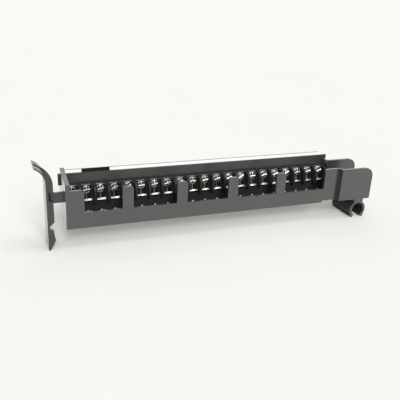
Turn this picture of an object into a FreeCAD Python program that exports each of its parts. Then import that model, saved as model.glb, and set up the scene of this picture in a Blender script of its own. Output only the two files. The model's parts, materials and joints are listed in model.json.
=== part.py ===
"""Field wiring arm: a swing arm with a row of screw terminals for a plug-in module.

The arm is drawn in its own construction frame, in millimetres.
X runs along the arm and is 0 at the left end of the terminal row.
Y runs from the wire windows to the back and is 0 at the front face of the label rail.
Z runs up and is 0 at the top of the barriers between the terminals.
Every sub-part is then placed so that the origin is under the middle of the arm, on the surface it stands on.
"""

import FreeCAD, Part
import os
import re
import Sketcher

# Driving dimensions: millimetres, degrees or counts.
SIZES = {
    # Terminal row
    "terminal_pitch": 9.525,
    "terminal_count": 21,
    "barrier_thickness": 1.4,
    "end_barrier": 1.0,
    "barrier_reach": 10.2,
    "barrier_slope": 1.6,
    "barrier_round": 4.5,
    "barrier_foot": 14.5,
    "seat_tilt": 15,
    "seat_back": 2.2,
    "seat_drop": 0.5,
    "seat_ledge": 12.2,
    "block_front": 6.2,
    # Card slot and connector nose
    "nose_front": 4.4,
    "nose_inset": 1.3,
    "card_slot_width": 2.1,
    "card_slot_depth": 9.1,
    "card_slot_inset": 2.4,
    # Contacts, clamps and screws
    "strip_gauge": 0.8,
    "contact_width": 6.2,
    "contact_top": 1.6,
    "lip_drop": 10.6,
    "lip_length": 1.2,
    "lip_fall": 0.8,
    "tail_back": 0.2,
    "tail_end": 22.8,
    "tip_width": 1.4,
    "tip_gauge": 0.6,
    "tip_drop": 18.7,
    "tip_chamfer": 0.4,
    "screw_drop": 3.8,
    "screw_offset": 0.7,
    "clamp_gauge": 0.9,
    "clamp_width": 5.2,
    "clamp_height": 6.2,
    "clamp_chamfer": 1.2,
    "ridge_width": 1.2,
    "ridge_height": 0.6,
    "ridge_end": 6.5,
    "shank_radius": 1.75,
    "head_radius": 2.7,
    "head_height": 1.9,
    "slot_width": 0.9,
    "slot_depth": 0.9,
    # Housing
    "wall": 2.0,
    "end_wall": 2.8,
    "left_overhang": 2.67,
    "front_depth": 23.8,
    "underside": 23.6,
    "wall_top": 2.8,
    "sill_drop": 12.7,
    "cells_per_window": 4,
    "first_window": 9.3,
    "last_post": 10.4,
    "pillar_width": 7.5,
    "pillar_round": 2.0,
    "end_front_height": 7.0,
    "end_back_height": 11.0,
    "jog_setback": 2.0,
    "jog_run": 4.1,
    "jog_shift": 3.9,
    "back_jog_run": 3.1,
    "back_flange_face": 4.4,
    "flange_run": 27.6,
    "flange_round": 7.0,
    "flange_underside": 22.2,
    # Pivot clip
    "clip_bore": 5.2,
    "clip_wall": 1.6,
    "clip_inset": 9.1,
    "clip_drop": 30.9,
    "clip_mouth": 8.5,
    "clip_lip": 1.0,
    "neck_width": 7.6,
    "stand_drop": 37.2,
    # Label rail and strip
    "rail_overhang": 1.4,
    "rail_tail": 3.8,
    "rail_drop": 1.5,
    "rail_top": 6.5,
    "rail_depth": 6.8,
    "rail_plate": 1.4,
    "rail_shelf": 1.5,
    "rail_grip": 4.5,
    "label_gauge": 0.5,
    "label_inset": 0.9,
    "lip_width": 0.5,
    "lip_height": 0.65,
    "tab_start": 11.8,
    "tab_length": 19.1,
    "tab_height": 2.7,
    # Latch lever
    "latch_width": 16.8,
    "blade_gap": 7.5,
    "blade_thickness": 4.4,
    "blade_shoulder": 3.2,
    "pocket_round": 1.0,
    "hook_width": 2.2,
    "hook_setback": 0.4,
    "notch_start": 17.6,
    "notch_top": 20.6,
    "notch_bottom": 23.0,
    "notch_depth": 3.0,
    "hook_reach": 0.35,
    "hook_lead": 0.9,
    "hook_widest": 30.4,
    "tip_flat": 1.1,
    "thumb_plate": 1.5,
    "thumb_tip": 0.8,
    "thumb_rise": 8.8,
    "thumb_radius": 11.46,
    "thumb_sweep": 65,
    "rib_setback": 9.3,
    "rib_width": 1.8,
    "rib_reach": 1.0,
    "rib_foot": 8.4,
    "rib_shoulder": 4.7,
    "rib_radius": 15.0,
    "rib_turn": 60,
    "crest_sweep": 62,
    "crest_height": 0.55,
    # Stalk and pivot
    "stalk_height": 7.0,
    "pivot_inset": 2.4,
    "pivot_drop": 4.1,
    "knuckle_radius": 2.0,
    "tail_reach": 4.0,
    "swing_clearance": 1.3,
    "pin_radius": 1.0,
    "pin_clearance": 0.05,
    "pin_end": 0.3,
    "lug_thickness": 2.2,
    "lug_gap": 0.3,
    "lug_height": 7.0,
    "lug_radius": 2.2,
    # Return spring
    "spring_gauge": 0.4,
    "spring_width": 4.0,
    "spring_foot": 19.0,
    "spring_bend": 13.0,
    "spring_gap": 0.7,
    # Clearance between pieces that are fitted together
    "fit": 0.1,
}

# Places worked out from the driving dimensions.
DERIVED = {
    "block_length": "terminal_count * terminal_pitch",
    "left_face": "-left_overhang",
    "end_inner": "end_wall - left_overhang",
    "block_left": "end_inner + fit",
    "block_right": "block_length - fit",
    "front_face": "-front_depth",
    "front_inner": "wall - front_depth",
    "back_inner": "rail_plate + fit",
    "back_outer": "rail_plate + fit + wall",
    "back_top": "rail_top - rail_shelf - fit",
    "floor_top": "wall - underside",
    "jog_start": "block_length - jog_setback",
    "jog_round": "(jog_run ^ 2 + jog_shift ^ 2) / (2 * jog_shift)",
    "jog_reach": "sqrt(jog_shift * (2 * (jog_round + wall) - jog_shift))",
    "flange_start": "jog_start + jog_run",
    "flange_end": "flange_start + flange_run",
    "flange_face": "-front_depth - jog_shift",
    "back_jog": "block_length + 4 * fit",
    "back_shift": "back_inner + back_flange_face",
    "back_lean": "wall * tan(atan(back_shift / back_jog_run) / 2)",
    "back_flange": "wall - back_flange_face",
    "step_start": "block_length - last_post",
    "wireway_back": "-barrier_reach - 2 * fit",
    "window_pitch": "cells_per_window * terminal_pitch",
    "clip_middle": "flange_end - clip_inset",
    "clip_outer": "clip_bore + clip_wall",
    "clip_length": "back_flange - flange_face",
    "tail_front": "tail_back - strip_gauge",
    "card_slot_back": "tail_front - fit",
    "card_slot_front": "card_slot_back - card_slot_width",
    "screw_y": "-seat_back - screw_drop * sin(seat_tilt)",
    "screw_z": "-seat_drop - screw_drop * cos(seat_tilt)",
    "head_seat": "strip_gauge + clamp_gauge",
    "blade_right": "-left_overhang - blade_gap",
    "blade_left": "blade_right - blade_thickness",
    "latch_middle": "rib_setback - front_depth",
    "thumb_centre": "blade_left - thumb_radius",
    "thumb_outer": "thumb_radius + thumb_plate",
    "crest_radius": "thumb_radius + thumb_tip + crest_height",
    "plate_right": "blade_left + thumb_plate",
    "rib_edge": "blade_right + rib_reach",
    "rib_centre": "rib_edge - rib_radius",
    "pivot_x": "end_inner + pivot_inset",
    "pivot_z": "-pivot_drop",
    "lug_inner": "rib_width / 2 + lug_gap",
    "tail_end_x": "pivot_x + tail_reach",
    "tail_foot": "pivot_z - knuckle_radius",
    "arm_left": "blade_left - thumb_radius * (1 - cos(thumb_sweep))",
    "centre_x": "(flange_end + arm_left) / 2",
    "centre_y": "(rail_depth + flange_face) / 2",
}

# Global axis that each origin plane's sketches are extruded along, and the sign of the sketch normal.
NORMAL_SIGN = {"XY_Plane": 1, "YZ_Plane": 1, "XZ_Plane": -1}

doc = FreeCAD.newDocument("field_wiring_arm")
sheet = doc.addObject("Spreadsheet::Sheet", "sizes")


def fill_sheet():
    """Write the driving dimensions into the sheet, one row each."""
    for row, (alias, value) in enumerate(SIZES.items(), start=1):
        sheet.set(f"A{row}", alias)
        sheet.set(f"B{row}", str(value))
        sheet.setAlias(f"B{row}", alias)
    doc.recompute()


def formula(text):
    """Turn a formula in plain size names into one that refers to the sheet."""
    def replace(match):
        word = match.group()
        if word in SIZES:
            return f"sizes.{word}"
        if word in DERIVED:
            return f"({formula(DERIVED[word])})"
        return word
    return re.sub(r"[a-z][a-z_]+", replace, text)


def bind(item, prop, text):
    """Tie one property of a document object to a formula."""
    item.setExpression(prop, formula(text))


def number(text):
    """Value of a formula now."""
    return float(sheet.evalExpression(formula(text)))


def whole(text):
    """Value of a formula as a count."""
    return int(round(number(text)))


def new_body(label, place=("0", "0", "0"), tilt=None):
    """Body in the construction frame, or in a frame at a place and leaned back about X."""
    body = doc.addObject("PartDesign::Body", label)
    body.Label = label
    if tilt:
        body.Placement = FreeCAD.Placement(FreeCAD.Vector(), FreeCAD.Rotation(FreeCAD.Vector(1, 0, 0), 90))
        bind(body, "Placement.Rotation.Angle", tilt)
    bind(body, "Placement.Base.x", f"{place[0]} - centre_x")
    bind(body, "Placement.Base.y", f"{place[1]} - centre_y")
    bind(body, "Placement.Base.z", f"{place[2]} + stand_drop")
    return body


def origin_item(body, role):
    """Plane or axis of the body's own origin."""
    return [item for item in body.Origin.OriginFeatures if item.Role == role][0]


def new_sketch(body, name, plane, offset):
    """Sketch on one of the body's origin planes, moved along its normal."""
    sketch = body.newObject("Sketcher::SketchObject", name)
    sketch.AttachmentSupport = [(origin_item(body, plane), "")]
    sketch.MapMode = "FlatFace"
    bind(sketch, "AttachmentOffset.Base.z", offset)
    return sketch


def pin_point(sketch, geometry, point, place):
    """Fix one sketch point by its two coordinates."""
    for kind, text in zip(("DistanceX", "DistanceY"), place):
        index = sketch.addConstraint(Sketcher.Constraint(kind, -1, 1, geometry, point, number(text)))
        bind(sketch, f"Constraints[{index}]", text)


def arc_between(start, end, radius, side):
    """Arc from start to end, shorter than half a turn, with its centre on the given side of the way."""
    chord = end - start
    across = FreeCAD.Vector(-chord.y, chord.x, 0).normalize()
    rise = (radius ** 2 - (chord.Length / 2) ** 2) ** 0.5
    centre = (start + end) / 2 + across * (rise * side)
    middle = centre - across * (radius * side)
    return Part.Arc(start, middle, end)


def draw_outline(sketch, corners, arcs):
    """Closed outline through the corners; arcs maps a corner's index to the arc that leaves it."""
    points = [FreeCAD.Vector(number(u), number(v), 0) for u, v in corners]
    count = len(points)
    ids = []
    for index, start in enumerate(points):
        end = points[(index + 1) % count]
        if index in arcs:
            radius, side = arcs[index]
            curve = arc_between(start, end, number(radius), side)
            ids.append(sketch.addGeometry(curve))
        else:
            ids.append(sketch.addGeometry(Part.LineSegment(start, end)))
    starts = []
    for index, geometry in enumerate(ids):
        forward = sketch.getPoint(geometry, 1).distanceToPoint(points[index]) < 1e-6
        starts.append((1, 2) if forward else (2, 1))
    for index in range(count):
        after = (index + 1) % count
        sketch.addConstraint(
            Sketcher.Constraint("Coincident", ids[index], starts[index][1], ids[after], starts[after][0]))
        pin_point(sketch, ids[index], starts[index][0], corners[index])
    for index, (radius, _) in arcs.items():
        place = sketch.addConstraint(Sketcher.Constraint("Radius", ids[index], number(radius)))
        bind(sketch, f"Constraints[{place}]", radius)


def draw_circle(sketch, centre, radius):
    """Circle fixed by its centre and radius."""
    middle = FreeCAD.Vector(number(centre[0]), number(centre[1]), 0)
    geometry = sketch.addGeometry(Part.Circle(middle, FreeCAD.Vector(0, 0, 1), number(radius)))
    pin_point(sketch, geometry, 3, centre)
    index = sketch.addConstraint(Sketcher.Constraint("Radius", geometry, number(radius)))
    bind(sketch, f"Constraints[{index}]", radius)


def extrude(body, name, plane, start, length, corners=None, arcs=None, circle=None, cut=False):
    """Pad or pocket between two levels of the plane's axis, from start to start plus length."""
    upper = f"({start}) + ({length})"
    if NORMAL_SIGN[plane] > 0:
        offset = upper if cut else start
    else:
        offset = f"-({start})" if cut else f"-({upper})"
    sketch = new_sketch(body, f"{name}_sketch", plane, offset)
    if circle:
        draw_circle(sketch, *circle)
    else:
        draw_outline(sketch, corners, arcs or {})
    feature = body.newObject("PartDesign::Pocket" if cut else "PartDesign::Pad", name)
    feature.Profile = sketch
    bind(feature, "Length", length)
    return feature


def rectangle(left, right, low, high):
    """Corners of an upright rectangle."""
    return [(left, low), (right, low), (right, high), (left, high)]


def revolve(body, name, corners):
    """Turned form about the body's Z axis; the outline is radius against height."""
    sketch = new_sketch(body, f"{name}_sketch", "XZ_Plane", "0")
    draw_outline(sketch, corners, {})
    feature = body.newObject("PartDesign::Revolution", name)
    feature.Profile = sketch
    feature.ReferenceAxis = (sketch, ["V_Axis"])
    feature.Angle = 360
    return feature


def repeat_along_x(body, name, features, spacing, count):
    """Row of copies of the features along X."""
    doc.recompute()
    pattern = body.newObject("PartDesign::LinearPattern", name)
    pattern.Originals = features
    pattern.Direction = (origin_item(body, "X_Axis"), [""])
    bind(pattern, "Length", f"({spacing}) * ({count} - 1)")
    bind(pattern, "Occurrences", count)
    body.Tip = pattern
    return pattern


def seat_y(out, level):
    """Y of the plane that lies the distance out in front of the terminal seat, at a level."""
    rise = f"({out}) * sin(seat_tilt) - seat_drop - ({level})"
    return f"-seat_back - ({out}) * cos(seat_tilt) - ({rise}) * tan(seat_tilt)"


# Housing

def housing_walls(body):
    """Front wall with its jog, back wall, end wall and floor."""
    front = [("left_face", "front_face"), ("jog_start", "front_face"), ("flange_start", "flange_face"),
             ("flange_end", "flange_face"), ("flange_end", "flange_face + wall"),
             ("jog_start + jog_reach", "flange_face + wall"), ("jog_start", "front_inner"),
             ("left_face", "front_inner")]
    bends = {1: ("jog_round", -1), 5: ("jog_round + wall", 1)}
    extrude(body, "front_wall", "XY_Plane", "-underside", "underside + wall_top", front, bends)
    back = rectangle("left_face", "back_jog", "back_inner", "back_outer")
    extrude(body, "back_wall", "XY_Plane", "-underside", "underside + back_top", back)
    floor = rectangle("left_face", "back_jog", "front_face", "back_outer")
    extrude(body, "wireway_floor", "XY_Plane", "-underside", "wall", floor)
    end = [("front_face", "-underside"), ("back_outer", "-underside"), ("back_outer", "-rail_drop - fit"),
           ("-3 * fit", "-rail_drop - fit"), ("-3 * fit", "end_back_height"),
           ("front_face", "end_front_height")]
    extrude(body, "tall_end", "YZ_Plane", "left_face", "end_wall", end)


def housing_flanges(body):
    """Raised floor and the two flanges of the pivot end, with their rounded corners."""
    floor = [("step_start - wall", "front_face"), ("jog_start", "front_face"),
             ("flange_start", "flange_face"),
             ("clip_middle + clip_outer", "flange_face"), ("clip_middle + clip_outer", "back_flange"),
             ("back_jog + back_jog_run", "back_flange - wall / 2"), ("back_jog", "back_inner + wall / 2"),
             ("back_jog", "wireway_back"), ("step_start - wall", "wireway_back")]
    extrude(body, "flange_bottom", "XY_Plane", "-flange_underside", "wall", floor, {1: ("jog_round", -1)})
    back = [("back_jog - wall", "back_inner"), ("back_jog", "back_inner"),
            ("back_jog + back_jog_run", "-back_flange_face"), ("flange_end", "-back_flange_face"),
            ("flange_end", "back_flange"), ("back_jog + back_jog_run + back_lean", "back_flange"),
            ("back_jog + back_lean", "back_outer"), ("back_jog - wall", "back_outer")]
    extrude(body, "back_flange_wall", "XY_Plane", "-flange_underside", "flange_underside + wall_top", back)
    step = rectangle("step_start", "flange_end + wall", "-underside - wall", "-flange_underside")
    extrude(body, "underside_step", "XZ_Plane", "flange_face - wall",
            "wireway_back - flange_face + wall", step, cut=True)
    corner = [("flange_end - flange_round", "wall_top"), ("flange_end", "wall_top - flange_round"),
              ("flange_end + wall", "wall_top - flange_round"), ("flange_end + wall", "wall_top + wall"),
              ("flange_end - flange_round", "wall_top + wall")]
    extrude(body, "flange_corners", "XZ_Plane", "flange_face - wall", "clip_length + 2 * wall",
            corner, {0: ("flange_round", -1)}, cut=True)


def housing_windows(body):
    """Open-topped wire windows, which leave rounded pillars between them."""
    windows = int((whole("terminal_count") - 1) / whole("cells_per_window"))
    for place in range(windows):
        left = "first_window" if place == 0 else f"{place} * window_pitch + pillar_width / 2"
        right = "step_start" if place == windows - 1 else f"{place + 1} * window_pitch - pillar_width / 2"
        outline = [(f"{left} - pillar_round", "wall_top + wall"), (f"{left} - pillar_round", "wall_top"),
                   (left, "wall_top - pillar_round"), (left, "-sill_drop"), (right, "-sill_drop"),
                   (right, "wall_top - pillar_round"), (f"{right} + pillar_round", "wall_top"),
                   (f"{right} + pillar_round", "wall_top + wall")]
        arcs = {1: ("pillar_round", -1), 5: ("pillar_round", -1)}
        extrude(body, f"window_{place + 1}", "XZ_Plane", "front_face - wall", "2.5 * wall",
                outline, arcs, cut=True)


def housing_clip(body):
    """C-shaped clip that snaps on the pivot rod, hung from the flanges by a neck."""
    middle = ("clip_middle", "-clip_drop")
    depth = ("XZ_Plane", "flange_face", "clip_length")
    neck = rectangle("clip_middle - neck_width / 2", "clip_middle + neck_width / 2",
                     "-clip_drop", "-flange_underside + wall / 2")
    extrude(body, "clip_neck", *depth, neck)
    extrude(body, "clip_ring", *depth, circle=(middle, "clip_outer"))
    for name, sign in (("left_lip", "-"), ("right_lip", "+")):
        lip = [(f"clip_middle {sign} clip_outer", "-clip_drop"),
               (f"clip_middle {sign} (clip_mouth / 2 + clip_lip)", "-stand_drop"),
               (f"clip_middle {sign} clip_mouth / 2", "-stand_drop"),
               (f"clip_middle {sign} clip_bore / 2", "-clip_drop")]
        extrude(body, name, *depth, lip)
    extrude(body, "clip_bore_cut", *depth, circle=(middle, "clip_bore"), cut=True)
    mouth = [middle, ("clip_middle - clip_mouth / 2", "-stand_drop"),
             ("clip_middle - clip_mouth / 2", "-stand_drop - wall"),
             ("clip_middle + clip_mouth / 2", "-stand_drop - wall"),
             ("clip_middle + clip_mouth / 2", "-stand_drop")]
    extrude(body, "clip_mouth_cut", *depth, mouth, cut=True)


def housing_lugs(body):
    """Slot for the latch stalk in the end wall, and the pair of lugs inside it that carry the latch pin."""
    pivot = ("pivot_x", "pivot_z")
    slot = rectangle("left_face - wall", "end_inner", "pivot_z - stalk_height / 2 - swing_clearance",
                     "pivot_z + stalk_height / 2 + swing_clearance")
    extrude(body, "stalk_slot", "XZ_Plane", "latch_middle - lug_inner", "2 * lug_inner", slot, cut=True)
    lug = [("end_inner - wall / 2", "pivot_z + lug_height / 2"),
           ("end_inner - wall / 2", "pivot_z - lug_height / 2"),
           ("end_inner", "pivot_z - lug_height / 2"), ("pivot_x", "pivot_z - lug_radius"),
           ("pivot_x", "pivot_z + lug_radius"), ("end_inner", "pivot_z + lug_height / 2")]
    for name, start in (("front_lug", "latch_middle - lug_inner - lug_thickness"),
                        ("back_lug", "latch_middle + lug_inner")):
        extrude(body, name, "XZ_Plane", start, "lug_thickness", lug)
        extrude(body, f"{name}_boss", "XZ_Plane", start, "lug_thickness", circle=(pivot, "lug_radius"))
        extrude(body, f"{name}_hole", "XZ_Plane", start, "lug_thickness",
                circle=(pivot, "pin_radius + pin_clearance / 2"), cut=True)


def make_housing():
    body = new_body("housing")
    housing_walls(body)
    housing_flanges(body)
    housing_windows(body)
    housing_clip(body)
    housing_lugs(body)
    nose = rectangle("nose_inset - 2 * fit", "block_length - nose_inset + 2 * fit",
                     "-nose_front - 2 * fit", "back_inner")
    extrude(body, "nose_opening", "XY_Plane", "-underside", "wall", nose, cut=True)
    return body


# Terminal block

def make_terminal_block():
    body = new_body("terminal_block")
    profile = [("rail_plate", "floor_top"), ("rail_plate", "-rail_drop - fit"), ("-fit", "-rail_drop - fit"),
               ("-fit", "-seat_drop"), ("-seat_back", "-seat_drop"),
               (seat_y("0", "-seat_ledge"), "-seat_ledge"),
               ("-block_front", "-seat_ledge"), ("-block_front", "floor_top")]
    extrude(body, "body_bar", "YZ_Plane", "block_left", "block_right - block_left", profile)
    nose = rectangle("nose_inset", "block_length - nose_inset", "-nose_front", "back_inner - 2 * fit")
    extrude(body, "nose", "XY_Plane", "-underside", "wall", nose)
    barrier = [("-fit", "-barrier_foot"), ("-fit", "0"), ("-barrier_reach + barrier_round", "-barrier_slope"),
               ("-barrier_reach", "-barrier_slope - barrier_round"), ("-barrier_reach", "-seat_ledge"),
               ("-block_front", "-barrier_foot")]
    arc = {2: ("barrier_round", 1)}
    extrude(body, "left_barrier", "YZ_Plane", "block_left", "end_barrier", barrier, arc)
    extrude(body, "right_barrier", "YZ_Plane", "block_right - end_barrier", "end_barrier", barrier, arc)
    first = extrude(body, "barrier", "YZ_Plane", "terminal_pitch - barrier_thickness / 2",
                    "barrier_thickness", barrier, arc)
    repeat_along_x(body, "barriers", [first], "terminal_pitch", "terminal_count - 1")
    slot = rectangle("card_slot_inset", "block_length - card_slot_inset", "card_slot_front", "card_slot_back")
    extrude(body, "card_slot", "XY_Plane", "-underside", "card_slot_depth", slot, cut=True)
    groove = [("tail_back + fit", "-underside"), ("tail_back + fit", "-contact_top + fit"),
              ("-seat_back - wall", "-contact_top + fit"),
              ("-seat_back - wall", "-contact_top - strip_gauge - fit"),
              ("tail_front - fit", "-contact_top - strip_gauge - fit"), ("tail_front - fit", "-underside")]
    way = extrude(body, "contact_way", "YZ_Plane", "(terminal_pitch - contact_width) / 2 - fit",
                  "contact_width + 2 * fit", groove, cut=True)
    repeat_along_x(body, "contact_ways", [way], "terminal_pitch", "terminal_count")
    return body


# Contacts, clamps and screws

def make_contact(index):
    """Bent strip: leg into the block, screw seat, wire lip and the tail beside the card slot."""
    body = new_body(f"contact_{index + 1:02d}", (f"{index} * terminal_pitch", "0", "0"))
    top, lip = "-contact_top", "-lip_drop"
    front = seat_y("strip_gauge", lip)
    strip = [("tail_back", "-tail_end"), ("tail_back", top), (seat_y("strip_gauge", top), top), (front, lip),
             (f"{front} - lip_length", f"{lip} - lip_fall"),
             (f"{front} - lip_length", f"{lip} - lip_fall - strip_gauge"),
             (seat_y("0", f"{lip} - strip_gauge"), f"{lip} - strip_gauge"),
             (seat_y("0", f"{top} - strip_gauge"), f"{top} - strip_gauge"),
             ("tail_front", f"{top} - strip_gauge"), ("tail_front", "-tail_end")]
    edge = "(terminal_pitch - contact_width) / 2"
    extrude(body, f"strip_{index + 1}", "YZ_Plane", edge, "contact_width", strip)
    return body


def make_contact_tails():
    """Ends of the contacts' tails, which stand at the foot of the block's front."""
    body = new_body("contact_tails", ("terminal_pitch / 2", "0", "0"))
    side, shoulder, foot = "tip_width / 2", "-tip_drop - tip_chamfer", "floor_top + fit"
    outline = [(f"-{side}", foot), (side, foot), (side, shoulder), (f"{side} - tip_chamfer", "-tip_drop"),
               (f"tip_chamfer - {side}", "-tip_drop"), (f"-{side}", shoulder)]
    tip = extrude(body, "tail_tip", "XZ_Plane", "-block_front - fit - tip_gauge", "tip_gauge", outline)
    repeat_along_x(body, "tail_tips", [tip], "terminal_pitch", "terminal_count")
    return body


def make_wire_clamp(index):
    """Pressure plate with its lower corners cut off and a wire ridge that runs down the seat."""
    place = (f"({index} + 0.5) * terminal_pitch - screw_offset", "screw_y", "screw_z")
    body = new_body(f"wire_clamp_{index + 1:02d}", place, "90 - seat_tilt")
    side, half = "clamp_width / 2", "clamp_height / 2"
    plate = [(f"-{side}", half), (f"-{side}", f"clamp_chamfer - {half}"),
             (f"clamp_chamfer - {side}", f"-{half}"), (f"{side} - clamp_chamfer", f"-{half}"),
             (side, f"clamp_chamfer - {half}"), (side, half)]
    extrude(body, f"plate_{index + 1}", "XY_Plane", "strip_gauge", "clamp_gauge", plate)
    ridge = [("-ridge_width / 2", "strip_gauge"), ("ridge_width / 2", "strip_gauge"),
             ("0", "strip_gauge + ridge_height")]
    run = f"ridge_end - {half} + clamp_chamfer"
    extrude(body, f"ridge_{index + 1}", "XZ_Plane", "-ridge_end", run, ridge)
    return body


def make_terminal_screws():
    """Binding-head screws with a straight slot, one for each terminal."""
    place = ("terminal_pitch / 2 - screw_offset", "screw_y", "screw_z")
    body = new_body("terminal_screws", place, "90 - seat_tilt")
    crown = "head_seat + head_height"
    profile = [("0", "0"), ("shank_radius", "0"), ("shank_radius", "head_seat"), ("head_radius", "head_seat"),
               ("head_radius", crown), ("0", crown)]
    screw = revolve(body, "screw", profile)
    slot = rectangle("-head_radius - fit", "head_radius + fit", "-slot_width / 2", "slot_width / 2")
    groove = extrude(body, "screw_slot", "XY_Plane", f"{crown} - slot_depth", "slot_depth", slot, cut=True)
    repeat_along_x(body, "screw_row", [screw, groove], "terminal_pitch", "terminal_count")
    return body


# Label rail and strip

def make_label_rail():
    """Upright plate before the back wall, a lipped shelf and a grip rib over it, and a raised tab."""
    body = new_body("label_rail")
    start = "left_face - rail_overhang"
    plate = rectangle(start, "block_length + rail_tail", "-rail_drop", "rail_top")
    extrude(body, "front_plate", "XZ_Plane", "0", "rail_plate", plate)
    grip, shelf_foot, lip_top = "back_outer + fit", "rail_top - rail_shelf", "rail_top + lip_height"
    shelf = [("rail_plate / 2", shelf_foot), (grip, shelf_foot), (grip, f"{shelf_foot} - rail_grip"),
             (f"{grip} + rail_plate", f"{shelf_foot} - rail_grip"), (f"{grip} + rail_plate", shelf_foot),
             ("rail_depth", shelf_foot), ("rail_depth", lip_top), ("rail_depth - lip_width", lip_top),
             ("rail_depth - lip_width", "rail_top"), ("rail_plate / 2", "rail_top")]
    extrude(body, "shelf", "YZ_Plane", "0", "block_length", shelf)
    tab = rectangle("tab_start", "tab_start + tab_length", "rail_top - rail_shelf", "rail_top + tab_height")
    extrude(body, "raised_tab", "XZ_Plane", "0", "label_inset - fit", tab)
    notch = rectangle("block_length + fit", "block_length + rail_tail + wall",
                      "-rail_drop - wall", "wall_top + 2 * fit")
    extrude(body, "flange_notch", "XZ_Plane", "-wall", "rail_depth + 2 * wall", notch, cut=True)
    return body


def make_label_strip():
    """Flat white strip that lies on the shelf, between the raised tab and the lip."""
    body = new_body("label_strip")
    strip = rectangle("fit", "block_length - fit", "label_inset", "rail_depth - lip_width - fit")
    extrude(body, "strip", "XY_Plane", "rail_top", "label_gauge", strip)
    return body


# Latch

def thumb_point(radius, angle):
    """Point on a circle about the centre that the thumb plate curves round."""
    return (f"thumb_centre + ({radius}) * cos({angle})", f"thumb_rise + ({radius}) * sin({angle})")


def latch_plate(body):
    """Thin plate, full width, from the foot up to the curved thumb tab, which thins towards its tip."""
    outer = thumb_point("thumb_radius + thumb_tip", "thumb_sweep")
    inner = thumb_point("thumb_radius", "thumb_sweep")
    outline = [("blade_left", "-stand_drop"), ("blade_left + tip_flat", "-stand_drop"),
               ("plate_right", "-stand_drop + thumb_plate"), ("plate_right", "thumb_rise"),
               outer, inner, ("blade_left", "thumb_rise")]
    arcs = {3: ("thumb_outer", 1), 5: ("thumb_radius", -1)}
    extrude(body, "plate", "XZ_Plane", "front_face", "latch_width", outline, arcs)


def latch_hook(body):
    """Flange along the plate's front edge, with the catch notch and the wedge below it."""
    root = "blade_left + tip_flat"
    outline = [(root, "-stand_drop"), ("blade_right + hook_reach", "-hook_widest"),
               ("blade_right - hook_lead", "-notch_bottom"), ("blade_right - notch_depth", "-notch_bottom"),
               ("blade_right - notch_depth", "-notch_top"), ("blade_right", "-notch_start"),
               ("blade_right", "-blade_shoulder"), ("plate_right + pocket_round", "-blade_shoulder"),
               ("plate_right", "pocket_round - blade_shoulder"), (root, "pocket_round - blade_shoulder")]
    arcs = {7: ("pocket_round", -1)}
    extrude(body, "hook", "XZ_Plane", "front_face + hook_setback", "hook_width", outline, arcs)


def latch_rib(body):
    """Stiffening rib along the middle of the plate, which follows the thumb tab as a low crest."""
    base_radius = "thumb_radius + thumb_tip / 2"
    base = "blade_left + thumb_tip / 2"
    turn = ("rib_centre + rib_radius * cos(rib_turn)", "rib_shoulder + rib_radius * sin(rib_turn)")
    crest_end = thumb_point("crest_radius", "crest_sweep")
    base_end = thumb_point(base_radius, "crest_sweep")
    outline = [(base, "-rib_foot"), ("rib_edge - rib_width", "-rib_foot"),
               ("rib_edge", "-rib_foot + rib_width"), ("rib_edge", "rib_shoulder"),
               turn, crest_end, base_end, (base, "thumb_rise")]
    arcs = {1: ("rib_width", 1), 3: ("rib_radius", 1), 4: ("crest_radius", 1), 6: (base_radius, -1)}
    extrude(body, "rib", "XZ_Plane", "latch_middle - rib_width / 2", "rib_width", outline, arcs)


def latch_stalk(body):
    """Flat stalk through the end wall, the knuckle on the pin and the tail that the spring bears on."""
    depth = ("XZ_Plane", "latch_middle - rib_width / 2", "rib_width")
    pivot = ("pivot_x", "pivot_z")
    top, foot = "pivot_z + stalk_height / 2", "pivot_z - stalk_height / 2"
    stalk = [("blade_right - wall", top), ("blade_right - wall", foot), ("left_face", foot),
             ("pivot_x", "tail_foot"),
             ("tail_end_x", "tail_foot"), ("tail_end_x", "pivot_z"), ("pivot_x", "pivot_z + knuckle_radius"),
             ("left_face", top)]
    extrude(body, "stalk", *depth, stalk)
    extrude(body, "pin_bore", *depth, circle=(pivot, "pin_radius + pin_clearance"), cut=True)


def make_latch_lever():
    body = new_body("latch_lever")
    latch_plate(body)
    latch_hook(body)
    latch_rib(body)
    latch_stalk(body)
    return body


def make_latch_pin():
    body = new_body("latch_pin")
    reach = "lug_inner + lug_thickness + pin_end"
    extrude(body, "pin", "XZ_Plane", f"latch_middle - ({reach})", f"2 * ({reach})",
            circle=(("pivot_x", "pivot_z"), "pin_radius"))
    return body


def make_latch_spring():
    """Bent leaf with its foot on the end wall and its free end under the latch's tail."""
    body = new_body("latch_spring")
    inner, outer = "end_inner + fit", "end_inner + fit + spring_gauge"
    end, level = "tail_end_x - rib_width / 2", "tail_foot - spring_gap"
    leaf = [(inner, "-spring_foot"), (outer, "-spring_foot"), (outer, "-spring_bend"),
            (end, f"{level} - spring_gauge"), (end, level), (inner, "spring_gauge - spring_bend")]
    extrude(body, "leaf", "XZ_Plane", "latch_middle - spring_width / 2", "spring_width", leaf)
    return body


def check_model(bodies):
    """Stop on any failed feature, cut that removes nothing, or shape that is not sound."""
    for item in doc.Objects:
        if "Invalid" in item.State or "Error" in item.State:
            raise RuntimeError(f"{item.Name} failed: {item.State}")
        if item.TypeId == "PartDesign::Pocket":
            removed = item.BaseFeature.Shape.Volume - item.Shape.Volume
            if removed < 1e-6:
                raise RuntimeError(f"{item.Name} cuts nothing")
    for body in bodies:
        if body.Shape.isNull() or not body.Shape.isValid():
            raise RuntimeError(f"{body.Label} is not a sound shape")


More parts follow.
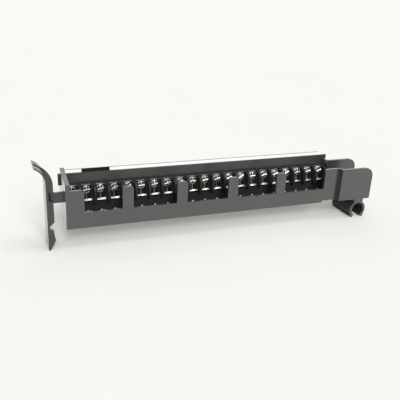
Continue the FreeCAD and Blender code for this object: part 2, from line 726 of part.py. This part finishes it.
def main():
    fill_sheet()
    bodies = [make_housing(), make_terminal_block(), make_label_rail(), make_label_strip()]
    bodies += [make_latch_lever(), make_latch_pin(), make_latch_spring()]
    bodies += [make_terminal_screws(), make_contact_tails()]
    for index in range(whole("terminal_count")):
        bodies.append(make_contact(index))
        bodies.append(make_wire_clamp(index))
    doc.recompute()
    check_model(bodies)
    os.makedirs("parts", exist_ok=True)
    for body in bodies:
        body.Shape.exportStep(f"parts/{body.Label}.step")
        print(body.Label, len(body.Shape.Solids), "solid(s),", round(body.Shape.Volume, 1), "mm3")


main()
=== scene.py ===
"""Looks of the field wiring arm: finishes, detailed terminal screws, studio and camera.

Lengths are in metres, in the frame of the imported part.
"""

import json
import math

import bmesh
import bpy
from mathutils import Matrix, Vector


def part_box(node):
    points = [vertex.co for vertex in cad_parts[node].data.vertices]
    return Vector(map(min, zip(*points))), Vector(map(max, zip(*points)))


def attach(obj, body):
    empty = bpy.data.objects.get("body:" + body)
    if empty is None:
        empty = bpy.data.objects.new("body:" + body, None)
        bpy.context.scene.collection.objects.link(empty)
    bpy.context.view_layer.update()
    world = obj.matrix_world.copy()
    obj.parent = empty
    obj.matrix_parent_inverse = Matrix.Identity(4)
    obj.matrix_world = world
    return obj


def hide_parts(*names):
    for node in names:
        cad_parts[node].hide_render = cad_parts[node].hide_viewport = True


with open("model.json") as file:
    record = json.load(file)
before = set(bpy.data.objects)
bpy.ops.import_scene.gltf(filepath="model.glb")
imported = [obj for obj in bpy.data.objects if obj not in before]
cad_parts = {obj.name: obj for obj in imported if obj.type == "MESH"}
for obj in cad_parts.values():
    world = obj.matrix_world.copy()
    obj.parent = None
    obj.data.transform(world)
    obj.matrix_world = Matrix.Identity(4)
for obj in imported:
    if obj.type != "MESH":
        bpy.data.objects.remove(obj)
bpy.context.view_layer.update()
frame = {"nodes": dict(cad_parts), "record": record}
nodes = frame["nodes"]
scene = bpy.context.scene

MM = 0.001

# Terminal row
CLAMPS = sorted(name for name in nodes if name.startswith("wire_clamp_"))
SEAT_TILT = math.radians(15)

# Screw heads
HEAD_RADIUS = 2.7 * MM
HEAD_HEIGHT = 1.9 * MM
DOME_RISE = 0.02 * MM
RIM_ROUND = 0.5 * MM
TEETH = 10
TOOTH_DEPTH = 0.3 * MM
TOOTH_START = 0.65
GROOVE_HALF_WIDTH = 0.55 * MM
GROOVE_DEPTH = 0.5 * MM
CROSS_REACH = 2.1 * MM
# Where the rings of the crown start, in half widths of the groove
CROWN_START = 1.45
HEAD_RINGS = 14
QUADRANT_STEPS = 30
# Turn from one head to the next, and the turn at which it starts over, in degrees
TURN_STEP = 7
TURN_RANGE = 31
# Points nearer than this become one, and edges sharper than this stay sharp
MERGE_DISTANCE = 0.002 * MM
SHARP_ANGLE = math.radians(35)

# Camera, found by fitting the photo
CAMERA_PLACE = Vector((-149.69, -351.46, 172.13)) * MM
CAMERA_HEADING = math.radians(-21.705)
CAMERA_PITCH = math.radians(68.05)
CAMERA_ROLL = math.radians(2.87)
CAMERA_LENS = 50.63
SENSOR_WIDTH = 36

# Studio
FLOOR_SIZE = 12.0
FLOOR_COLOUR = (0.88, 0.872, 0.85)
SEEN_COLOUR = (0.95, 0.94, 0.92)
STUDIO_COLOUR = (1.0, 0.985, 0.96)
# The dim side of the studio, at the front, and the stretch of directions that makes it wide and low
DIM_SIDE = Vector((0.33, -0.91, 0.24))
DIM_STRETCH = (1, 1, 2.2)
# Strength of the studio from the side behind the object, position 0, to the dim side, position 1
STUDIO_LEVELS = ((0.0, 0.98), (0.2, 0.66), (0.4, 0.5), (0.6, 0.38), (0.83, 0.38), (0.93, 0.03))
# The same for the white surroundings that reflections show
MIRROR_LEVELS = ((0.0, 1.0), (0.8, 1.0), (0.93, 0.03))
# Soft lamps: the side they shine from, their spread in degrees, their strength and
# whether they are seen in reflections
LAMPS = {
    "key": ((-0.15, -2.1, 1.35), 24, 2.42, False),
    "front": ((0.2, -1.5, 1.9), 13, 0.42, True),
    "overhead": ((0.3, -0.1, 0.92), 26, 0.45, True),
    "back": ((0.34, 0.69, 0.64), 28, 0.14, True),
}

# Scales of the surface noise, in cycles per metre
CLOUD_SCALE = 55
SKIN_SCALE = 240
GRAIN_SCALE = 2600
BLOTCH_SCALE = 500
SHEEN_SCALE = 900
DRAWN_LINE_SCALE = 1500
FIBRE_SCALE = 1800
CARD_SCALE = 300
PAPER_SCALE = 6
DRAWN_LINE_STRETCH = (1, 1, 6)
FIBRE_STRETCH = (0.3, 1, 1)
PLAIN_DETAIL = 3
RICH_DETAIL = 4

# Shares by which the noise changes a colour, and the part of the noise that makes the change
CLOUD_SHARE = 0.08
BLOTCH_SHARE = 0.15
FIBRE_SHARE = 0.03
PAPER_SHARE = 0.01
NOISE_LOW = 0.3
NOISE_HIGH = 0.7

# Gloss
PLASTIC_GLOSS_SPREAD = 0.04
PLATING_GLOSS_SPREAD = 0.05
CARD_ROUGHNESS = (0.35, 0.45)
PAPER_ROUGHNESS = 0.8
PAPER_SHINE = 0.1
PLAIN_SHINE = 0.5
PLASTIC_IOR = 1.6
COAT_IOR = 1.5
COAT_ROUGHNESS_SHARE = 0.5

# Edges and grain
EDGE_SAMPLES = 6
PLASTIC_EDGE = 0.4 * MM
PLATING_EDGE = 0.12 * MM
CARD_EDGE = 0.1 * MM
GRAIN_STRENGTH = 0.5
PLASTIC_GRAIN = 0.008 * MM
FINE_GRAIN = 0.004 * MM

# Parts of a normal between which a surface turns to face aside or up, where the plating gets its painted
# highlight
ASIDE_START = 0.3
ASIDE_END = 0.5
UP_START = 0.5
UP_END = 0.7

# Matt patches, as low and high corners: the raised tab of the label rail, coloured darker, and the jog of the
# front wall and the pivot clip behind its front end, whose darker colour is painted shade
TAB_PATCH = (Vector((-92.5, -20, 43.7)) * MM, Vector((-73.4, 20, 60)) * MM)
JOG_SHADE_PATCH = (Vector((94.6, -20, 0)) * MM, Vector((97.9, -13.4, 60)) * MM)
CLIP_SHADE_PATCH = (Vector((108, -16.8, -5)) * MM, Vector((125, 17, 13.6)) * MM)
PATCH_EDGE = 0.5 * MM
MATT_SHINE = 0.08


# Finishes

def new_material(name):
    """Material whose tree has only a shader and the output."""
    material = bpy.data.materials.new(name)
    material.use_nodes = True
    tree = material.node_tree
    tree.nodes.clear()
    output = tree.nodes.new("ShaderNodeOutputMaterial")
    shader = tree.nodes.new("ShaderNodeBsdfPrincipled")
    tree.links.new(shader.outputs["BSDF"], output.inputs["Surface"])
    return material, tree, shader


def noise(tree, scale, detail=PLAIN_DETAIL, stretch=(1, 1, 1)):
    """Noise in object space, with its scale in cycles per metre, stretched along the axes."""
    coordinates = tree.nodes.new("ShaderNodeTexCoord")
    mapping = tree.nodes.new("ShaderNodeMapping")
    mapping.inputs["Scale"].default_value = stretch
    texture = tree.nodes.new("ShaderNodeTexNoise")
    texture.inputs["Scale"].default_value = scale
    texture.inputs["Detail"].default_value = detail
    tree.links.new(coordinates.outputs["Object"], mapping.inputs["Vector"])
    tree.links.new(mapping.outputs["Vector"], texture.inputs["Vector"])
    return texture.outputs["Fac"]


def between(tree, factor, low, high):
    """Value that runs from low to high with a factor."""
    node = tree.nodes.new("ShaderNodeMapRange")
    node.inputs["To Min"].default_value = low
    node.inputs["To Max"].default_value = high
    tree.links.new(factor, node.inputs["Value"])
    return node.outputs["Result"]


def shade_colour(tree, factor, dark, light):
    """Colour that runs from dark to light with a factor."""
    ramp = tree.nodes.new("ShaderNodeValToRGB")
    low, high = ramp.color_ramp.elements
    low.position = NOISE_LOW
    high.position = NOISE_HIGH
    low.color = (*dark, 1)
    high.color = (*light, 1)
    tree.links.new(factor, ramp.inputs["Fac"])
    return ramp.outputs["Color"]


def rounded_grain(tree, shader, factor, edge_radius, depth):
    """Softened edges under a fine surface grain."""
    bevel = tree.nodes.new("ShaderNodeBevel")
    bevel.samples = EDGE_SAMPLES
    bevel.inputs["Radius"].default_value = edge_radius
    bump = tree.nodes.new("ShaderNodeBump")
    bump.inputs["Strength"].default_value = GRAIN_STRENGTH
    bump.inputs["Distance"].default_value = depth
    tree.links.new(factor, bump.inputs["Height"])
    tree.links.new(bevel.outputs["Normal"], bump.inputs["Normal"])
    tree.links.new(bump.outputs["Normal"], shader.inputs["Normal"])
    tree.links.new(bump.outputs["Normal"], shader.inputs["Coat Normal"])


def vary_gloss(tree, shader, scale, roughness, spread):
    """Roughness that noise varies by a spread to both sides."""
    gloss = between(tree, noise(tree, scale), roughness - spread, roughness + spread)
    tree.links.new(gloss, shader.inputs["Roughness"])


def scaled(colour, factor):
    """Colour made lighter or darker."""
    return tuple(channel * factor for channel in colour)


def plastic(name, colour, roughness, edge_radius=PLASTIC_EDGE, coat=1.0, shine=PLAIN_SHINE):
    """Moulded plastic with a smooth skin: slight clouds, uneven gloss, fine grain and softened edges."""
    material, tree, shader = new_material(name)
    clouds = noise(tree, CLOUD_SCALE, RICH_DETAIL)
    tone = shade_colour(tree, clouds, scaled(colour, 1 - CLOUD_SHARE), scaled(colour, 1 + CLOUD_SHARE))
    tree.links.new(tone, shader.inputs["Base Color"])
    vary_gloss(tree, shader, SKIN_SCALE, roughness, PLASTIC_GLOSS_SPREAD)
    shader.inputs["IOR"].default_value = PLASTIC_IOR
    shader.inputs["Specular IOR Level"].default_value = shine
    shader.inputs["Coat Weight"].default_value = coat
    shader.inputs["Coat Roughness"].default_value = roughness * COAT_ROUGHNESS_SHARE
    shader.inputs["Coat IOR"].default_value = COAT_IOR
    rounded_grain(tree, shader, noise(tree, GRAIN_SCALE), edge_radius, PLASTIC_GRAIN)
    return material


def past(tree, value, start, end):
    """Share of the way from start to end that a value has gone."""
    node = tree.nodes.new("ShaderNodeMapRange")
    node.inputs["From Min"].default_value = start
    node.inputs["From Max"].default_value = end
    tree.links.new(value, node.inputs["Value"])
    return node.outputs["Result"]


def combine(tree, operation, first, second):
    """Two values joined by an operation."""
    node = tree.nodes.new("ShaderNodeMath")
    node.operation = operation
    tree.links.new(first, node.inputs[0])
    tree.links.new(second, node.inputs[1])
    return node.outputs["Value"]


def axes(tree, output):
    """The three parts of an output of the texture coordinates."""
    coordinates = tree.nodes.new("ShaderNodeTexCoord")
    split = tree.nodes.new("ShaderNodeSeparateXYZ")
    tree.links.new(coordinates.outputs[output], split.inputs["Vector"])
    return [split.outputs[axis] for axis in "XYZ"]


def faces_up_or_aside(tree):
    """One on surfaces that face up or to the left or right, else zero."""
    x, _, z = axes(tree, "Normal")
    right = past(tree, x, ASIDE_START, ASIDE_END)
    left = past(tree, x, -ASIDE_START, -ASIDE_END)
    aside = combine(tree, "MAXIMUM", right, left)
    return combine(tree, "MAXIMUM", past(tree, z, UP_START, UP_END), aside)


def inside(tree, low, high):
    """One inside a box of object space, else zero, with soft sides."""
    share = None
    for value, start, end in zip(axes(tree, "Object"), low, high):
        for limit, inner in ((start, start + PATCH_EDGE), (end, end - PATCH_EDGE)):
            side = past(tree, value, limit, inner)
            share = side if share is None else combine(tree, "MULTIPLY", share, side)
    return share


def repaint(tree, shader, share, colour):
    """Change the colour of a finish by a share toward another colour."""
    mix = tree.nodes.new("ShaderNodeMixRGB")
    mix.inputs["Color2"].default_value = (*colour, 1)
    tree.links.new(share, mix.inputs["Fac"])
    tree.links.new(shader.inputs["Base Color"].links[0].from_socket, mix.inputs["Color1"])
    tree.links.new(mix.outputs["Color"], shader.inputs["Base Color"])


def matt_darkened_patch(material, colour, *boxes):
    """Take the shine off the parts of a plastic that lie in boxes, and colour them darker; on the jog and the
    clip this is painted shade.
    """
    tree = material.node_tree
    shader = tree.nodes["Principled BSDF"]
    patch = inside(tree, *boxes[0])
    for box in boxes[1:]:
        patch = combine(tree, "MAXIMUM", patch, inside(tree, *box))
    coat = shader.inputs["Coat Weight"].default_value
    shine = shader.inputs["Specular IOR Level"].default_value
    tree.links.new(between(tree, patch, coat, 0.0), shader.inputs["Coat Weight"])
    tree.links.new(between(tree, patch, shine, MATT_SHINE), shader.inputs["Specular IOR Level"])
    repaint(tree, shader, patch, colour)
    return material


def plating(name, colour, roughness, edge_radius=PLATING_EDGE, metallic=1.0):
    """Plated metal with faint drawn lines and uneven brightness, dull and pale where metallic is low."""
    material, tree, shader = new_material(name)
    blotches = noise(tree, BLOTCH_SCALE, RICH_DETAIL)
    tone = shade_colour(tree, blotches, scaled(colour, 1 - BLOTCH_SHARE), colour)
    tree.links.new(tone, shader.inputs["Base Color"])
    vary_gloss(tree, shader, SHEEN_SCALE, roughness, PLATING_GLOSS_SPREAD)
    shader.inputs["Metallic"].default_value = metallic
    drawn_lines = noise(tree, DRAWN_LINE_SCALE, stretch=DRAWN_LINE_STRETCH)
    rounded_grain(tree, shader, drawn_lines, edge_radius, FINE_GRAIN)
    return material


def with_painted_highlight(material, colour, roughness):
    """Paint a pale highlight on the metal, with its own roughness, on the surfaces that face up or aside."""
    tree = material.node_tree
    shader = tree.nodes["Principled BSDF"]
    highlight_share = faces_up_or_aside(tree)
    gloss = tree.nodes.new("ShaderNodeMix")
    gloss.inputs["B"].default_value = roughness
    tree.links.new(highlight_share, gloss.inputs["Factor"])
    tree.links.new(shader.inputs["Roughness"].links[0].from_socket, gloss.inputs["A"])
    tree.links.new(gloss.outputs["Result"], shader.inputs["Roughness"])
    repaint(tree, shader, highlight_share, colour)
    return material


def card(name, colour):
    """Plain white label card with a faint fibre grain."""
    material, tree, shader = new_material(name)
    fibre = noise(tree, FIBRE_SCALE, stretch=FIBRE_STRETCH)
    tone = shade_colour(tree, fibre, scaled(colour, 1 - FIBRE_SHARE), colour)
    tree.links.new(tone, shader.inputs["Base Color"])
    gloss = between(tree, noise(tree, CARD_SCALE), *CARD_ROUGHNESS)
    tree.links.new(gloss, shader.inputs["Roughness"])
    rounded_grain(tree, shader, fibre, CARD_EDGE, FINE_GRAIN)
    return material


def floor_paper(name, colour):
    """Pale seamless paper."""
    material, tree, shader = new_material(name)
    tone = shade_colour(tree, noise(tree, PAPER_SCALE), scaled(colour, 1 - PAPER_SHARE), colour)
    tree.links.new(tone, shader.inputs["Base Color"])
    shader.inputs["Roughness"].default_value = PAPER_ROUGHNESS
    shader.inputs["Specular IOR Level"].default_value = PAPER_SHINE
    return material


HOUSING_PLASTIC = plastic("housing_plastic", (0.034, 0.033, 0.032), 0.26)
RAIL_PLASTIC = plastic("rail_plastic", (0.036, 0.035, 0.034), 0.50, edge_radius=0.25 * MM, coat=0.35)
BLOCK_PLASTIC = plastic("block_plastic", (0.024, 0.024, 0.024), 0.36, edge_radius=0.2 * MM, coat=0.0,
                        shine=0.2)
CLAMP_PLATING = plating("clamp_plating", (0.42, 0.41, 0.40), 0.16, edge_radius=0.45 * MM)

# Finishes by slot, and by node where a node differs from its slot
FINISHES = {
    # The darker colour on the jog of the front wall and on the pivot clip is painted shade
    "housing_plastic": matt_darkened_patch(HOUSING_PLASTIC, (0.028, 0.027, 0.026), JOG_SHADE_PATCH, CLIP_SHADE_PATCH),
    "latch_plastic": plastic("latch_plastic", (0.019, 0.018, 0.017), 0.26, coat=0.6),
    "rail_plastic": matt_darkened_patch(RAIL_PLASTIC, (0.013, 0.013, 0.013), TAB_PATCH),
    "block_plastic": BLOCK_PLASTIC,
    "label_stock": card("label_stock", (0.94, 0.94, 0.93)),
    "pin_steel": plating("pin_steel", (0.55, 0.55, 0.54), 0.3),
    "spring_steel": plating("spring_steel", (0.45, 0.45, 0.44), 0.35),
    "screw_plating": plating("screw_plating", (0.93, 0.92, 0.90), 0.1),
    # Contacts and clamps: the pale colour on faces that face up or aside is a painted highlight
    "contact_plating": with_painted_highlight(plating("contact_plating", (0.30, 0.29, 0.28), 0.14), (0.98, 0.96, 0.91), 0.36),
    "clamp_plating": with_painted_highlight(CLAMP_PLATING, (0.98, 0.97, 0.95), 0.5),
    "contact_tails": plating("tail_tin", (0.96, 0.95, 0.93), 0.45, metallic=0.2),
}


def paint_nodes():
    """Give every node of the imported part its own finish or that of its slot."""
    for part in frame["record"]["subparts"]:
        mesh = nodes[part["node"]].data
        mesh.materials.clear()
        mesh.materials.append(FINISHES.get(part["node"], FINISHES[part["material_slot"]]))


# Screw heads

def crown_height(u, v):
    """Height of the nearly flat crown above the seat, rounded over at the rim."""
    radius = min(math.hypot(u, v), HEAD_RADIUS)
    dome = DOME_RISE * (radius / HEAD_RADIUS) ** 2
    past_shoulder = max(0.0, radius - HEAD_RADIUS + RIM_ROUND)
    drop = RIM_ROUND - math.sqrt(max(0.0, RIM_ROUND ** 2 - past_shoulder ** 2))
    return HEAD_HEIGHT - dome - drop


def tooth_shrink(u, v):
    """Share of its distance from the axis that a point of the toothed rim keeps."""
    radius = math.hypot(u, v)
    start = HEAD_RADIUS * TOOTH_START
    weight = max(0.0, (radius - start) / (HEAD_RADIUS - start))
    wave = 0.5 - 0.5 * math.cos(TEETH * math.atan2(v, u))
    return 1 - weight * wave * TOOTH_DEPTH / HEAD_RADIUS


def groove_depth(arm, along):
    """Depth of an arm of the recess: two arms of a straight slot, and two that run out on the crown."""
    if arm % 2 == 0:
        return GROOVE_DEPTH
    return GROOVE_DEPTH * max(0.0, 1 - along / CROSS_REACH)


def turned(quarter, u, v):
    """Point turned by quarter turns about the screw's axis."""
    for _ in range(quarter):
        u, v = -v, u
    return u, v


def ring_radii():
    """Distances of the crown's rings from the axis."""
    start = GROOVE_HALF_WIDTH * CROWN_START
    return [start + (HEAD_RADIUS - start) * ring / HEAD_RINGS for ring in range(HEAD_RINGS + 1)]


def across_arm(arm, along):
    """Left edge, middle and right edge of an arm of the recess, some way along it."""
    return [turned(arm, along, side) for side in (GROOVE_HALF_WIDTH, 0, -GROOVE_HALF_WIDTH)]


class Head:
    """Builds one screw head in a mesh, from quarters of the crown and the arms of the recess between them."""

    def __init__(self, mesh, place):
        self.mesh = mesh
        self.place = place

    def point(self, u, v, height):
        """New point of the head, drawn in where the rim is toothed."""
        keep = tooth_shrink(u, v)
        return self.mesh.verts.new(self.place @ Vector((u * keep, v * keep, height)))

    def face(self, *corners):
        """New face between points."""
        self.mesh.faces.new(corners)

    def crown_quarter(self, quarter):
        """Crown between two arms, and the skirt below it."""
        places = []
        for radius in ring_radii():
            edge = math.asin(GROOVE_HALF_WIDTH / radius)
            sweep = (math.pi / 2 - 2 * edge) / QUADRANT_STEPS
            angles = [edge + sweep * step for step in range(QUADRANT_STEPS + 1)]
            ring = [(radius * math.cos(angle), radius * math.sin(angle)) for angle in angles]
            places.append([turned(quarter, u, v) for u, v in ring])
        rows = [[self.point(u, v, crown_height(u, v)) for u, v in row] for row in places]
        rows.append([self.point(u, v, 0) for u, v in places[-1]])
        corner = turned(quarter, GROOVE_HALF_WIDTH, GROOVE_HALF_WIDTH)
        tip = self.point(*corner, crown_height(*corner))
        for step in range(QUADRANT_STEPS):
            self.face(tip, rows[0][step], rows[0][step + 1])
            for inner, outer in zip(rows, rows[1:]):
                self.face(inner[step], outer[step], outer[step + 1], inner[step + 1])

    def arm_row(self, arm, along):
        """Points across an arm of the recess: its edges on the crown, and its bottom between them."""
        left, middle, right = across_arm(arm, along)
        bottom = crown_height(*left) - groove_depth(arm, along)
        heights = (crown_height(*left), bottom, crown_height(*right))
        return [self.point(*place, height) for place, height in zip((left, middle, right), heights)]

    def recess_arm(self, arm):
        """Two sloping sides of one arm of the recess, and the rim below its end."""
        runs = [GROOVE_HALF_WIDTH] + [math.sqrt(r ** 2 - GROOVE_HALF_WIDTH ** 2) for r in ring_radii()]
        rows = [self.arm_row(arm, along) for along in runs]
        rows.append([self.point(*place, 0) for place in across_arm(arm, runs[-1])])
        centre = self.point(0, 0, HEAD_HEIGHT - GROOVE_DEPTH)
        self.face(centre, rows[0][2], rows[0][1])
        self.face(centre, rows[0][1], rows[0][0])
        for near, far in zip(rows, rows[1:]):
            self.face(near[1], far[1], far[0], near[0])
            self.face(near[2], far[2], far[1], near[1])

    def build(self):
        """All four quarters of the crown and all four arms."""
        for quarter in range(4):
            self.crown_quarter(quarter)
            self.recess_arm(quarter)


def seat_places():
    """Frame at the seat of each screw head, with Z out of the seat."""
    lean = Matrix.Rotation(math.pi / 2 - SEAT_TILT, 4, "X")
    low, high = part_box("terminal_screws")
    seat_y = low.y + HEAD_RADIUS * math.sin(SEAT_TILT) + HEAD_HEIGHT * math.cos(SEAT_TILT)
    seat_z = high.z - HEAD_RADIUS * math.cos(SEAT_TILT) - HEAD_HEIGHT * math.sin(SEAT_TILT)
    for name in CLAMPS:
        left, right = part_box(name)
        yield Matrix.Translation(((left.x + right.x) / 2, seat_y, seat_z)) @ lean


def build_screws():
    """All the terminal screws as one piece, each turned to its own angle."""
    mesh = bmesh.new()
    for index, place in enumerate(seat_places()):
        turn = Matrix.Rotation(math.radians(TURN_STEP * index % TURN_RANGE), 4, "Z")
        Head(mesh, place @ turn).build()
    bmesh.ops.remove_doubles(mesh, verts=mesh.verts, dist=MERGE_DISTANCE)
    bmesh.ops.recalc_face_normals(mesh, faces=mesh.faces)
    data = bpy.data.meshes.new("screw_heads")
    mesh.to_mesh(data)
    mesh.free()
    data.shade_smooth()
    data.set_sharp_from_angle(angle=SHARP_ANGLE)
    data.materials.append(FINISHES["screw_plating"])
    heads = bpy.data.objects.new("screw_heads", data)
    scene.collection.objects.link(heads)
    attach(heads, "arm")
    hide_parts("terminal_screws")


# Studio

def add_floor():
    """Seamless pale floor."""
    data = bpy.data.meshes.new("floor")
    half = FLOOR_SIZE / 2
    corners = [(-half, -half, 0), (half, -half, 0), (half, half, 0), (-half, half, 0)]
    data.from_pydata(corners, [], [(0, 1, 2, 3)])
    data.materials.append(floor_paper("floor_paper", FLOOR_COLOUR))
    floor = bpy.data.objects.new("floor", data)
    scene.collection.objects.link(floor)


def add_lamp(name, side, spread, strength, in_reflections):
    """Wide soft light from a far side."""
    data = bpy.data.lights.new(name, "SUN")
    data.angle = math.radians(spread)
    data.energy = strength
    light = bpy.data.objects.new(name, data)
    light.rotation_euler = (-Vector(side)).to_track_quat("-Z", "Y").to_euler()
    light.visible_glossy = in_reflections
    scene.collection.objects.link(light)


def level_ramp(tree, factor, stops):
    """Level that runs through stops of a position and a level."""
    ramp = tree.nodes.new("ShaderNodeValToRGB")
    elements = ramp.color_ramp.elements
    for _ in stops[2:]:
        elements.new(1.0)
    for element, (position, level) in zip(elements, stops):
        element.position = position
        element.color = (level, level, level, 1)
    tree.links.new(factor, ramp.inputs["Fac"])
    return ramp.outputs["Color"]


def dim_share(tree):
    """Share of the way that a direction has turned from the far side of the studio to its dim side."""
    direction = tree.nodes.new("ShaderNodeTexCoord")
    stretched = tree.nodes.new("ShaderNodeVectorMath")
    stretched.operation = "MULTIPLY"
    stretched.inputs[1].default_value = DIM_STRETCH
    unit = tree.nodes.new("ShaderNodeVectorMath")
    unit.operation = "NORMALIZE"
    facing = tree.nodes.new("ShaderNodeVectorMath")
    facing.operation = "DOT_PRODUCT"
    facing.inputs[1].default_value = DIM_SIDE.normalized()
    tree.links.new(direction.outputs["Generated"], stretched.inputs[0])
    tree.links.new(stretched.outputs["Vector"], unit.inputs[0])
    tree.links.new(unit.outputs["Vector"], facing.inputs[0])
    return past(tree, facing.outputs["Value"], -1, 1)


def background(tree, colour, strength):
    """Background of a colour, with a strength that comes from another node."""
    node = tree.nodes.new("ShaderNodeBackground")
    node.inputs["Color"].default_value = (*colour, 1)
    tree.links.new(strength, node.inputs["Strength"])
    return node.outputs["Background"]


def set_world():
    """White behind the object. Reflections and the light of the studio are dim at the front."""
    world = bpy.data.worlds.new("studio")
    world.use_nodes = True
    tree = world.node_tree
    tree.nodes.clear()
    output = tree.nodes.new("ShaderNodeOutputWorld")
    mix = tree.nodes.new("ShaderNodeMixShader")
    path = tree.nodes.new("ShaderNodeLightPath")
    camera_ray = path.outputs["Is Camera Ray"]
    mirror_ray = combine(tree, "MAXIMUM", path.outputs["Is Glossy Ray"], path.outputs["Is Transmission Ray"])
    share = dim_share(tree)
    seen_level = combine(tree, "MAXIMUM", camera_ray, level_ramp(tree, share, MIRROR_LEVELS))
    studio = background(tree, STUDIO_COLOUR, level_ramp(tree, share, STUDIO_LEVELS))
    seen = background(tree, SEEN_COLOUR, seen_level)
    tree.links.new(combine(tree, "MAXIMUM", camera_ray, mirror_ray), mix.inputs["Fac"])
    tree.links.new(studio, mix.inputs[1])
    tree.links.new(seen, mix.inputs[2])
    tree.links.new(mix.outputs["Shader"], output.inputs["Surface"])
    scene.world = world


def add_camera():
    """Camera at the photo's place and angle."""
    data = bpy.data.cameras.new("photo_camera")
    data.lens = CAMERA_LENS
    data.sensor_width = SENSOR_WIDTH
    camera = bpy.data.objects.new("photo_camera", data)
    turn = Matrix.Rotation(CAMERA_HEADING, 4, "Z") @ Matrix.Rotation(CAMERA_PITCH, 4, "X")
    turn = turn @ Matrix.Rotation(CAMERA_ROLL, 4, "Z")
    camera.matrix_world = Matrix.Translation(CAMERA_PLACE) @ turn
    scene.collection.objects.link(camera)
    scene.camera = camera


paint_nodes()
build_screws()
add_floor()
for lamp_name, lamp in LAMPS.items():
    add_lamp(lamp_name, *lamp)
set_world()
add_camera()
scene.view_settings.view_transform = "Standard"
